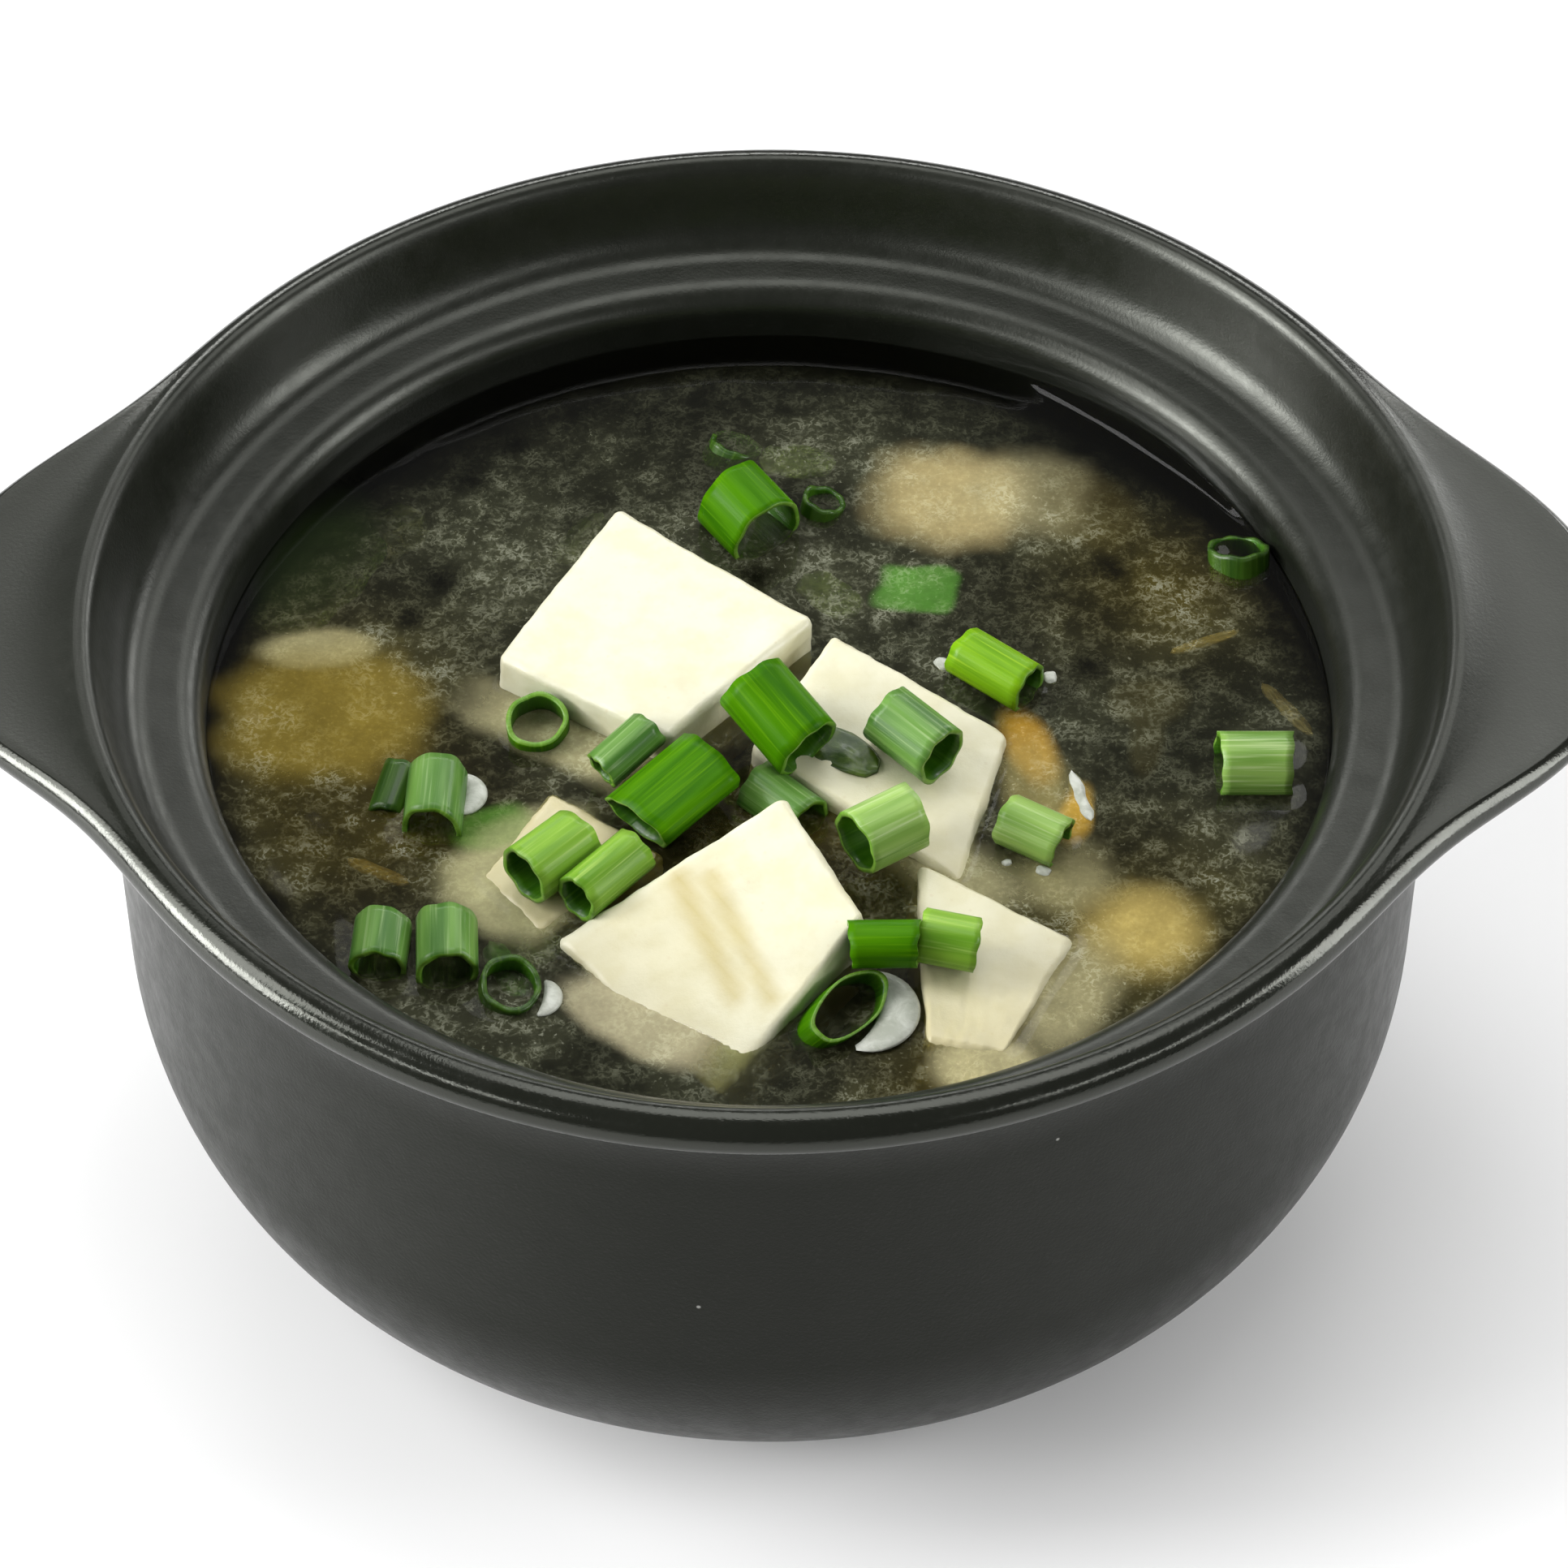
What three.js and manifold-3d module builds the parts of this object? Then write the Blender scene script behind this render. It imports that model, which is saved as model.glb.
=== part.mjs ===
// Miso soup with tofu and sliced scallions in a one-person stoneware pot.
// Millimetres, +Z up, +X through the right handle, origin at the centre of the base.
import * as THREE from 'three';
import { mergeVertices } from 'three/addons/utils/BufferGeometryUtils.js';
import Module from 'manifold-3d';

const wasm = await Module();
wasm.setup();

// Pot
const POT_HEIGHT = 79;
const BASE_RADIUS = 46;
const WALL_RADIUS = 75.5;
const WALL_START = 34.5;
const MOUTH_RADIUS = 64.4;
const FLOOR_HEIGHT = 9;
const FLOOR_RADIUS = 36;
const INSIDE_WALL_START = 43;

// Rim and lid ledge, heights measured down from the crest
const CREST_RADIUS = 77.1;
const CREST_ROUND = 1.6;
const CREST_FOOT_RADIUS = 77.9;
const CREST_FOOT_DROP = 0.21;
const EDGE_RADIUS = 78.5;
const EDGE_ROUND = 1.5;
const EDGE_DROP = 2.8;
const UNDERSIDE_DROP = 14;
const LEDGE_RADIUS = 72.9;
const LEDGE_DROP = 11.3;
const LEDGE_CORNER = 2;
const LEDGE_SLOPE = 0.2;
const LEDGE_EDGE_ROUND = 3.5;

// Wing handles, grown out of the rim edge
const HANDLE_REACH = 15.4;
const HANDLE_HALF_ANGLE = 18.3;
const HANDLE_SHARPNESS = 2.6;
const HANDLE_DROP = 1.4;
const HANDLE_SWELL = 2.5;
const HANDLES = [
  { angle: 180, widen: 1 },
  { angle: -1.8, widen: 1.06 },
];

// Soup
const SOUP_LEVEL = 60.7;
const GAP = 0.3;

// Facets round the pot, closer together at the handles
const TURN_STEPS = 56;
const HANDLE_CROWDING = 0.4;

// Tofu: top corners anticlockwise from the back, then thickness
const TOFU_ROUND = 1.1;
const TOFU = [
  { top: [[-17.9, 28.6, 65.5], [-31.3, 3, 65.5], [-11.4, -9.9, 65.5], [5.2, 9.3, 65.5]], thick: 18 },
  { top: [[7.3, 6.9, 65.7], [-2, -10, 64], [21.4, -28.6, 61], [27.4, -5.8, 61.9]], thick: 15 },
  { top: [[1.6, -23.6, 70.2], [-23.6, -37.4, 61.7], [-5.4, -58.3, 58.6], [10.3, -39.2, 67.5]], thick: 16 },
  { top: [[16.5, -27.2, 63.7], [17, -52, 61.2], [25.6, -53.5, 61], [34.1, -36.7, 61]], thick: 16 },
  { top: [[-24.6, -13.8, 61], [-32.1, -27.2, 61], [-25.3, -35.7, 61], [-11.2, -23.9, 61]], thick: 14 },
];

// Scallion slices: hollow leaf, centre, heading and lean of the axis in degrees
const LEAF_WALL = 0.9;
const LEAF_STEPS = 14;
const SCALLIONS = [
  { at: [26.1, 3.9, 62.5], yaw: -39, pitch: -2, length: 9.6, radius: 3.1 },
  { at: [16.2, -11, 66.9], yaw: -43, pitch: -7, length: 8.8, radius: 3.6 },
  { at: [12.8, -25.6, 66.8], yaw: 32, pitch: 2, length: 7.6, radius: 4 },
  { at: [29.6, -21.9, 62.5], yaw: -29, pitch: -4, length: 7, radius: 3.2 },
  { at: [1.2, -9.2, 68.2], yaw: -49, pitch: -18, length: 10.4, radius: 4.2 },
  { at: [1.4, -16.6, 61.3], yaw: -43, pitch: -3, length: 8.4, radius: 3.2 },
  { at: [-10.6, -17.6, 64.6], yaw: 43, pitch: 10, length: 11.6, radius: 5.2, flat: 0.5 },
  { at: [-16.2, -11.2, 64.6], yaw: 43, pitch: 14, length: 7.4, radius: 2.5 },
  { at: [-26.4, -4.4, 61.5], yaw: -90, pitch: 66, length: 4.6, radius: 3.6 },
  { at: [-2.6, 29.6, 63], yaw: -52, pitch: -8, length: 7.6, radius: 5 },
  { at: [6.2, 33.4, 60.4], yaw: 30, pitch: 76, length: 2.8, radius: 2.8 },
  { at: [-24, -27.9, 64.9], yaw: 46, pitch: 0, length: 8.4, radius: 3.6 },
  { at: [-17.8, -30.4, 64.7], yaw: 48, pitch: 2, length: 9.8, radius: 2.8 },
  { at: [-37.6, -16.4, 61.5], yaw: -92, pitch: 0, length: 8.6, radius: 3.6 },
  { at: [-42.4, -38.6, 61.7], yaw: -93, pitch: 0, length: 6.4, radius: 3.2 },
  { at: [-35.2, -38.8, 61.9], yaw: -87, pitch: 0, length: 7.8, radius: 3.4 },
  { at: [-28.4, -44, 60.4], yaw: -50, pitch: 70, length: 4.4, radius: 3.5 },
  { at: [12.6, -42.2, 66.2], yaw: -2, pitch: 3, length: 7.4, radius: 2.8 },
  { at: [19.6, -41, 65.4], yaw: -10, pitch: -5, length: 6.2, radius: 3.2 },
  { at: [7.6, -47.4, 60.6], yaw: -43, pitch: 58, length: 6.4, radius: 5.8, flat: 0.52 },
  { at: [55, -10.9, 61.8], yaw: 0, pitch: 0, length: 8.4, radius: 3.9 },
  { at: [55.3, 24.3, 60.2], yaw: 100, pitch: 72, length: 4, radius: 3.7 },
];

const STONEWARE = { color: 0x2f302d, roughness: 0.5, metalness: 0 };
const BROTH = { color: 0x6a5a34, roughness: 0.2, metalness: 0 };
const BEAN_CURD = { color: 0xf3eed8, roughness: 0.6, metalness: 0 };
const GREEN_LEAF = { color: 0x4f9a2a, roughness: 0.5, metalness: 0 };

// Points of an elliptical arc in the radius and height plane.
function arc(centreR, centreZ, radiusR, radiusZ, fromDegrees, toDegrees, steps) {
  const points = [];
  for (let i = 0; i <= steps; i += 1) {
    const angle = THREE.MathUtils.degToRad(fromDegrees + ((toDegrees - fromDegrees) * i) / steps);
    points.push(new THREE.Vector2(centreR + radiusR * Math.cos(angle), centreZ + radiusZ * Math.sin(angle)));
  }
  return points;
}

// Points of a straight stretch, both ends left out.
function between(start, end, steps) {
  const points = [];
  for (let i = 1; i < steps; i += 1) {
    points.push(start.clone().lerp(end, i / steps));
  }
  return points;
}

// Closed solid from a geometry: shared corners joined, empty triangles dropped.
function solidFrom(geometry) {
  geometry.deleteAttribute('normal');
  geometry.deleteAttribute('uv');
  const joined = mergeVertices(geometry, 1e-4);
  const index = joined.index.array;
  const kept = [];
  for (let i = 0; i < index.length; i += 3) {
    const [a, b, c] = [index[i], index[i + 1], index[i + 2]];
    if (a !== b && b !== c && c !== a) {
      kept.push(a, b, c);
    }
  }
  return new wasm.Manifold(new wasm.Mesh({
    numProp: 3,
    vertProperties: new Float32Array(joined.attributes.position.array),
    triVerts: new Uint32Array(kept),
  }));
}

// Named mesh with its own material.
function meshFrom(name, solid, material) {
  const surface = solid.getMesh();
  const geometry = new THREE.BufferGeometry();
  geometry.setAttribute('position', new THREE.BufferAttribute(surface.vertProperties, 3));
  geometry.setIndex(new THREE.BufferAttribute(surface.triVerts, 1));
  geometry.computeVertexNormals();
  const mesh = new THREE.Mesh(geometry, new THREE.MeshStandardMaterial(material));
  mesh.name = name;
  return mesh;
}

// Moves every corner of a geometry through a function.
function reshape(geometry, move) {
  const position = geometry.attributes.position;
  const point = new THREE.Vector3();
  for (let i = 0; i < position.count; i += 1) {
    point.fromBufferAttribute(position, i);
    move(point);
    position.setXYZ(i, point.x, point.y, point.z);
  }
  return geometry;
}

// Turned form about the Z axis, with its facets crowded towards the handles.
function turned(profile) {
  const geometry = new THREE.LatheGeometry(profile, TURN_STEPS);
  geometry.rotateX(Math.PI / 2);
  return reshape(geometry, (point) => {
    const radius = Math.hypot(point.x, point.y);
    const turn = Math.atan2(point.y, point.x);
    const crowded = turn - (HANDLE_CROWDING * Math.sin(2 * turn)) / 2;
    point.x = radius * Math.cos(crowded);
    point.y = radius * Math.sin(crowded);
  });
}

// Outline of the pot from the middle of the base, up the outside and down the inside.
function potProfile() {
  const edgeHeight = POT_HEIGHT - EDGE_DROP;
  const crestFoot = new THREE.Vector2(CREST_FOOT_RADIUS, POT_HEIGHT - CREST_FOOT_DROP);
  const edgeTop = new THREE.Vector2(EDGE_RADIUS, edgeHeight + EDGE_ROUND);
  const underside = POT_HEIGHT - UNDERSIDE_DROP;
  const ledge = POT_HEIGHT - LEDGE_DROP;
  const ledgeEdge = ledge - LEDGE_SLOPE - LEDGE_EDGE_ROUND;
  return [
    new THREE.Vector2(0, 0),
    ...arc(BASE_RADIUS, WALL_START, WALL_RADIUS - BASE_RADIUS, WALL_START, -90, 0, 8),
    ...arc(EDGE_RADIUS, underside, EDGE_RADIUS - WALL_RADIUS, edgeHeight - EDGE_ROUND - underside, 180, 90, 6),
    ...arc(EDGE_RADIUS, edgeHeight, EDGE_ROUND, EDGE_ROUND, -90, 90, 6).slice(1),
    ...between(edgeTop, crestFoot, 5),
    ...arc(CREST_RADIUS, POT_HEIGHT - CREST_ROUND, CREST_ROUND, CREST_ROUND, 60, 165, 4),
    ...arc(LEDGE_RADIUS - LEDGE_CORNER, ledge + LEDGE_CORNER, LEDGE_CORNER, LEDGE_CORNER, 0, -90, 3),
    ...arc(MOUTH_RADIUS + LEDGE_EDGE_ROUND, ledgeEdge, LEDGE_EDGE_ROUND, LEDGE_EDGE_ROUND, 90, 180, 4),
    ...insideCurve(0),
    new THREE.Vector2(0, FLOOR_HEIGHT),
  ];
}

// Inside of the bowl from wall to floor, drawn in by a clearance.
function insideCurve(clearance) {
  const radiusR = MOUTH_RADIUS - FLOOR_RADIUS - clearance;
  const radiusZ = INSIDE_WALL_START - FLOOR_HEIGHT - clearance;
  return arc(FLOOR_RADIUS, INSIDE_WALL_START, radiusR, radiusZ, 0, -90, 7);
}

// How far a direction lies within a handle, 1 at its middle and 0 away from it.
function handleShare(turnDegrees) {
  let share = 0;
  for (const handle of HANDLES) {
    const away = Math.abs(THREE.MathUtils.euclideanModulo(turnDegrees - handle.angle + 180, 360) - 180);
    share += Math.exp(-((away / (HANDLE_HALF_ANGLE * handle.widen)) ** HANDLE_SHARPNESS));
  }
  return share;
}

// Draws the rim edge out into the handles: top falls to a shallow dish, underside swells.
function drawOutHandle(point) {
  const radius = Math.hypot(point.x, point.y);
  const turn = Math.atan2(point.y, point.x);
  const drop = POT_HEIGHT - point.z;
  const upper = drop < EDGE_DROP;
  const root = upper ? CREST_FOOT_RADIUS : WALL_RADIUS;
  if (radius <= root || drop > UNDERSIDE_DROP) {
    return;
  }
  const outward = Math.min(1, (radius - root) / (EDGE_RADIUS - root));
  const share = handleShare(THREE.MathUtils.radToDeg(turn));
  const dish = 1 - (1 - outward) ** 3;
  const swell = HANDLE_SWELL * 4 * outward * (1 - outward);
  const drawn = radius + HANDLE_REACH * share * outward;
  point.x = drawn * Math.cos(turn);
  point.y = drawn * Math.sin(turn);
  point.z -= share * (upper ? HANDLE_DROP * dish : HANDLE_DROP * outward + swell);
}

function potSolid() {
  return solidFrom(reshape(turned(potProfile()), drawOutHandle));
}

// Soup filling the bowl to its level, before it is cut round the pieces in it.
function soupSolid() {
  return solidFrom(turned([
    new THREE.Vector2(0, FLOOR_HEIGHT + GAP),
    ...insideCurve(GAP).reverse(),
    new THREE.Vector2(MOUTH_RADIUS - GAP, SOUP_LEVEL),
    new THREE.Vector2(0, SOUP_LEVEL),
  ]));
}

// Cut block of tofu below four top corners, with soft edges, grown on all sides by a margin.
function tofuSolid({ top, thick }, margin) {
  const [back, left, front, right] = top.map((corner) => new THREE.Vector3(...corner));
  const centre = new THREE.Vector3().add(back).add(left).add(front).add(right).divideScalar(4);
  const normal = new THREE.Vector3().crossVectors(
    front.clone().sub(back),
    right.clone().sub(left),
  ).normalize();
  const half = new THREE.Vector3(
    (left.distanceTo(front) + back.distanceTo(right)) / 4,
    (back.distanceTo(left) + right.distanceTo(front)) / 4,
    thick / 2,
  );
  const block = new THREE.BoxGeometry(2, 2, 2, 4, 4, 4);
  return solidFrom(reshape(block, (point) => {
    softenCorner(point, half);
    const across = (point.x + 1) / 2;
    const along = (point.y + 1) / 2;
    const sink = (1 - point.z) * half.z;
    const high = back.clone().lerp(right, across);
    const low = left.clone().lerp(front, across);
    const spot = low.lerp(high, along);
    spot.add(spot.clone().sub(centre).setLength(margin * 1.5));
    spot.addScaledVector(normal, margin * point.z - sink);
    point.copy(spot);
  }));
}

// Rounds the edges of a cube of half size 1 that stands for a block of the given half sizes.
function softenCorner(point, half) {
  const offset = new THREE.Vector3();
  for (const axis of ['x', 'y', 'z']) {
    const flat = 1 - TOFU_ROUND / half[axis];
    const side = Math.sign(point[axis]);
    const outer = Math.abs(point[axis]) > 0.75;
    offset[axis] = outer ? side * TOFU_ROUND : 0;
    point[axis] = Math.abs(point[axis]) > 0.25 ? side * flat : 0;
  }
  offset.setLength(TOFU_ROUND);
  for (const axis of ['x', 'y', 'z']) {
    point[axis] += offset[axis] / half[axis];
  }
}

// Ring or plug profile of a scallion slice about its own axis.
function leafProfile(inner, outer, length) {
  const ring = [
    new THREE.Vector2(inner, -length / 2),
    new THREE.Vector2(outer, -length / 2),
    new THREE.Vector2(outer, length / 2),
    new THREE.Vector2(inner, length / 2),
  ];
  return inner > 0 ? [...ring, ring[0].clone()] : ring;
}

// Scallion slice lying along its heading; flat squeezes its height.
function scallionSolid({ at, yaw, pitch, length, radius, flat = 1 }, inner, margin) {
  const geometry = new THREE.LatheGeometry(leafProfile(inner, radius + margin, length + 2 * margin), LEAF_STEPS);
  geometry.scale(1, 1, flat);
  geometry.rotateZ(-Math.PI / 2);
  geometry.rotateY(-THREE.MathUtils.degToRad(pitch));
  geometry.rotateZ(THREE.MathUtils.degToRad(yaw));
  geometry.translate(...at);
  return solidFrom(geometry);
}

// Takes a list of solids away from one solid.
function cutBy(solid, others) {
  return others.reduce((rest, other) => rest.subtract(other), solid);
}

// Pieces in order, each cut clear of the ones before it.
function nested(pieces, shape, room, before) {
  const taken = [...before];
  return pieces.map((piece) => {
    const solid = cutBy(shape(piece), taken);
    taken.push(room(piece));
    return solid;
  });
}

function build() {
  const tofuRoom = TOFU.map((block) => tofuSolid(block, GAP));
  const tofu = nested(TOFU, (block) => tofuSolid(block, 0), (block) => tofuSolid(block, GAP), []);
  const leafRoom = (slice) => scallionSolid(slice, 0, GAP);
  const leafShape = (slice) => scallionSolid(slice, slice.radius - LEAF_WALL, 0);
  const scallions = nested(SCALLIONS, leafShape, leafRoom, tofuRoom);
  const soup = cutBy(soupSolid(), [...tofuRoom, ...SCALLIONS.map(leafRoom)]);

  const group = new THREE.Group();
  group.name = 'miso_soup';
  group.add(meshFrom('pot', potSolid(), STONEWARE));
  group.add(meshFrom('soup', soup, BROTH));
  tofu.forEach((solid, i) => group.add(meshFrom(`tofu_${i + 1}`, solid, BEAN_CURD)));
  scallions.forEach((solid, i) => {
    group.add(meshFrom(`scallion_${String(i + 1).padStart(2, '0')}`, solid, GREEN_LEAF));
  });
  return group;
}

export default build();
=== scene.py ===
# Miso soup with tofu and sliced scallions in a black stoneware pot.
import math

import bpy
import numpy as np
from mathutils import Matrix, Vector, noise


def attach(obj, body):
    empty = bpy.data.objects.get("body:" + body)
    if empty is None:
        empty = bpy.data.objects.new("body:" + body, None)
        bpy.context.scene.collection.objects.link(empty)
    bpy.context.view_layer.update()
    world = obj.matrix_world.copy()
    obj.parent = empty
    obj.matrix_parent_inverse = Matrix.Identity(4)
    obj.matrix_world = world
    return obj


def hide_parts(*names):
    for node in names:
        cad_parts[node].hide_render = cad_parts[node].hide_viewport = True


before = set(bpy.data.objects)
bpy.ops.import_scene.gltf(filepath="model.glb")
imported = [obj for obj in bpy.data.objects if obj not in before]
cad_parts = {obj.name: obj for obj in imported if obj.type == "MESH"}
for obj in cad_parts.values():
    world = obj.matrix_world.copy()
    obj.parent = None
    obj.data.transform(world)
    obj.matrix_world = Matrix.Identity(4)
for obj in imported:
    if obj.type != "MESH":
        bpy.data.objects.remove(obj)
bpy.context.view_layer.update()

MM = 0.001
SCENE = bpy.context.scene

# Camera
CAMERA_AIM = (1.69, 0, 47.6)
CAMERA_ELEVATION = 45.8
CAMERA_DISTANCE = 600
CAMERA_LENS = 118.2
CAMERA_SENSOR = 36

# Pot, millimetres
POT_HEIGHT = 79
BASE_RADIUS = 46
WALL_RADIUS = 75.5
WALL_START = 34.5
MOUTH_RADIUS = 64.4
FLOOR_HEIGHT = 9
FLOOR_RADIUS = 36
INSIDE_WALL_START = 43
CREST_RADIUS = 77.1
CREST_FOOT_RADIUS = 77.9
EDGE_RADIUS = 78.5
EDGE_ROUND = 1.5
EDGE_DROP = 2.8
UNDERSIDE_DROP = 14
LEDGE_RADIUS = 72.9
LEDGE_DROP = 11.3
COVE_RUN = 3.3
CREST_PULL = 3.4
COVE_PULL = 6.4
LEDGE_SLOPE = 0.2
LEDGE_EDGE_ROUND = 3.5
HANDLE_REACH = 15.4
HANDLE_HALF_ANGLE = 18.3
HANDLE_SHARPNESS = 2.6
HANDLE_DROP = 1.4
HANDLE_SWELL = 2.5
HANDLE_FLATTEN = 1.1
# Each handle: angle, widening
HANDLES = [(180, 1), (-1.8, 1.06)]
HANDLE_CROWDING = 0.4
HANDLE_SATIN = 0.4
POT_TURN_STEPS = 300

# Soup
SOUP_LEVEL = 60.7
SOUP_INTO_WALL = 0.25
SOUP_RINGS = 110
SOUP_TURN_STEPS = 384
MENISCUS_RISE = 0.12
MENISCUS_REACH = 0.8
WALL_RISE = 0.12
WALL_REACH = 1.6
HIGH_RISE = 1.3
HIGH_RISE_ANGLE = 46
HIGH_RISE_SPREAD = 17
# Painted shade of the wall on the soup: the pale grains fade out near the wall, most widely at the back
WALL_SHADE_BAND = 5
WALL_SHADE_REACH = 15
WALL_SHADE_REACH_AT_MIDDLE = 0.35
WALL_SHADE_REACH_AT_FRONT = 0.2
WALL_SHADE_BAND_RUN = 40
SWELL_HEIGHT = 0.05
SWELL_SCALE = 0.12
WATERLINE_LIFT = 0.013

# Dip of the soup's surface inside the tofu, so that it stays out of sight
BLOCK_DIP = 0.6
BLOCK_CLEARANCE = 0.1
BLOCK_FADE_HEIGHT = 0.6
BLOCK_INSET = 0.5
BLOCK_FADE_WIDTH = 1.2

# Brown places in the soup: across, back, reach
MURKY_PLACES = [(40, -36, 16), (-46, -20, 15), (-52, 0, 16), (46, 20, 14), (0, -24, 16), (20, -58, 10)]

# Soft spots of things sunk in the soup:
# across, back, half width, half depth, yaw, squareness, edge softness, tone, strength
SUNK_SPOTS = [
    (-51, -1.5, 11.5, 10, 0, 2.4, 0.6, (0.2, 0.145, 0.022), 0.8),
    (-52.5, 9.2, 6.4, 3, 4, 2, 0.6, (0.4, 0.36, 0.18), 0.75),
    (21.4, 35, 8.2, 7.6, -12, 3, 0.8, (0.43, 0.345, 0.155), 0.8),
    (30.5, 35.8, 7, 6.4, -10, 2.4, 1, (0.33, 0.29, 0.15), 0.5),
    (41.4, -35.2, 5.8, 5.8, 30, 2, 1.1, (0.47, 0.36, 0.11), 0.85),
    (29.6, -6.6, 2.6, 5.4, 16, 2, 0.9, (0.5, 0.27, 0.02), 0.75),
    (34.4, -17.6, 1.9, 4.4, -12, 2, 0.7, (0.5, 0.29, 0.03), 0.8),
    (30, -13, 3.6, 7, 10, 2, 0.9, (0.4, 0.33, 0.12), 0.5),
    (32.7, -27, 5, 5, 0, 2, 1, (0.42, 0.38, 0.19), 0.5),
    (-22.4, -6.2, 12.5, 3.6, -33, 4, 0.9, (0.46, 0.42, 0.23), 0.75),
    (21, -27, 6.5, 4.2, -35, 2, 1, (0.5, 0.46, 0.25), 0.6),
    (-26.5, -26.5, 7.6, 9.4, -45, 3, 0.5, (0.52, 0.49, 0.26), 0.75),
    (-14, -48, 9, 4.6, -38, 2.6, 0.5, (0.5, 0.45, 0.28), 0.75),
    (23.4, -55, 5.6, 3.6, 0, 2.6, 0.6, (0.52, 0.47, 0.26), 0.75),
    (33, -45, 4, 9, -25, 2, 1, (0.43, 0.39, 0.21), 0.6),
    (43.4, 0.4, 4.2, 3.8, 20, 2, 0.6, (0.016, 0.012, 0.002), 0.95),
    (43, -6, 1.8, 5.4, -8, 2, 0.7, (0.016, 0.012, 0.002), 0.9),
    (38, 33, 5, 7, 30, 2, 0.8, (0.03, 0.022, 0.004), 0.7),
    (-54, 24, 5, 10, -24, 2, 1, (0.012, 0.024, 0.003), 0.5),
    (-31, -19.5, 4.4, 3.2, 20, 2.4, 0.6, (0.07, 0.19, 0.02), 0.8),
    (17.3, 19.3, 4.4, 3.8, -8, 5, 0.3, (0.06, 0.2, 0.02), 0.8),
]

# Tofu: top corners back, left, front, right, then thickness
TOFU_ROUND = 1.1
TOFU = [
    (((-17.9, 28.6, 65.5), (-31.3, 3, 65.5), (-11.4, -9.9, 65.5), (5.2, 9.3, 65.5)), 18),
    (((7.3, 6.9, 65.7), (-2, -10, 64), (21.4, -28.6, 61), (27.4, -5.8, 61.9)), 15),
    (((1.6, -23.6, 70.2), (-23.6, -37.4, 61.7), (-5.4, -58.3, 58.6), (10.3, -39.2, 67.5)), 16),
    (((16.5, -27.2, 63.7), (17, -52, 61.2), (25.6, -53.5, 61), (34.1, -36.7, 61)), 16),
    (((-24.6, -13.8, 61), (-32.1, -27.2, 61), (-25.3, -35.7, 61), (-11.2, -23.9, 61)), 14),
]

# Tan grooves on the leaning block: start, end, width
GROOVES = [((-10, -31.8), (-3.7, -46.3), 1.3), ((-6.4, -32.3), (0.3, -47.3), 1.1)]
GROOVE_STRENGTH = 0.62
# Crease on the leaning block: start and end; painted shade along it, its strength and width
CREASE = ((-3.8, -27.9), (-21.9, -38.3))
CREASE_SHADE_STRENGTH = 0.14
CREASE_SHADE_WIDTH = 0.5

# Soaked tone of blocks half under the soup: base, extra at the front, where it starts, its run
SOAKED = {2: (0.1, 0.15, -8, 16), 4: (0.16, 0.4, -36, 16), 5: (0.55, 0, 0, 1)}

# Scallion slices: centre, yaw, pitch, length, radius, flatness, shade of green
LEAF_WALL = 0.6
SCALLIONS = [
    ((26.1, 3.9, 62.5), -39, -2, 9.6, 3.1, 1, "bright"),
    ((16.2, -11, 66.9), -43, -7, 8.8, 3.6, 1, "cool"),
    ((12.8, -25.6, 66.8), 32, 2, 7.6, 4, 1, "pale"),
    ((29.6, -21.9, 62.5), -29, -4, 7, 3.2, 1, "pale"),
    ((1.2, -9.2, 68.2), -49, -18, 10.4, 4.2, 1, "fresh"),
    ((1.4, -16.6, 61.3), -43, -3, 8.4, 3.2, 1, "cool"),
    ((-10.6, -17.6, 64.6), 43, 10, 11.6, 5.2, 0.5, "fresh"),
    ((-16.2, -11.2, 64.6), 43, 14, 7.4, 2.5, 1, "cool"),
    ((-26.4, -4.4, 61.5), -90, 66, 4.6, 3.6, 1, "fresh"),
    ((-2.6, 29.6, 63), -52, -8, 7.6, 5, 1, "fresh"),
    ((6.2, 33.4, 60.4), 30, 76, 2.8, 2.8, 1, "dark"),
    ((-24, -27.9, 64.9), 46, 0, 8.4, 3.6, 1, "mid"),
    ((-17.8, -30.4, 64.7), 48, 2, 9.8, 2.8, 1, "mid"),
    ((-37.6, -16.4, 61.5), -92, 0, 8.6, 3.6, 1, "cool"),
    ((-42.4, -38.6, 61.7), -93, 0, 6.4, 3.2, 1, "cool"),
    ((-35.2, -38.8, 61.9), -87, 0, 7.8, 3.4, 1, "cool"),
    ((-28.4, -44, 60.4), -50, 70, 4.4, 3.5, 1, "dark"),
    ((12.6, -42.2, 66.2), -2, 3, 7.4, 2.8, 1, "fresh"),
    ((19.6, -41, 65.4), -10, -5, 6.2, 3.2, 1, "mid"),
    ((7.6, -47.4, 60.6), -43, 58, 6.4, 5.8, 0.52, "fresh"),
    ((55, -10.9, 61.8), 0, 0, 8.4, 3.9, 1, "pale"),
    ((55.3, 24.3, 60.2), 100, 72, 4, 3.7, 1, "dark"),
]

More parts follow.
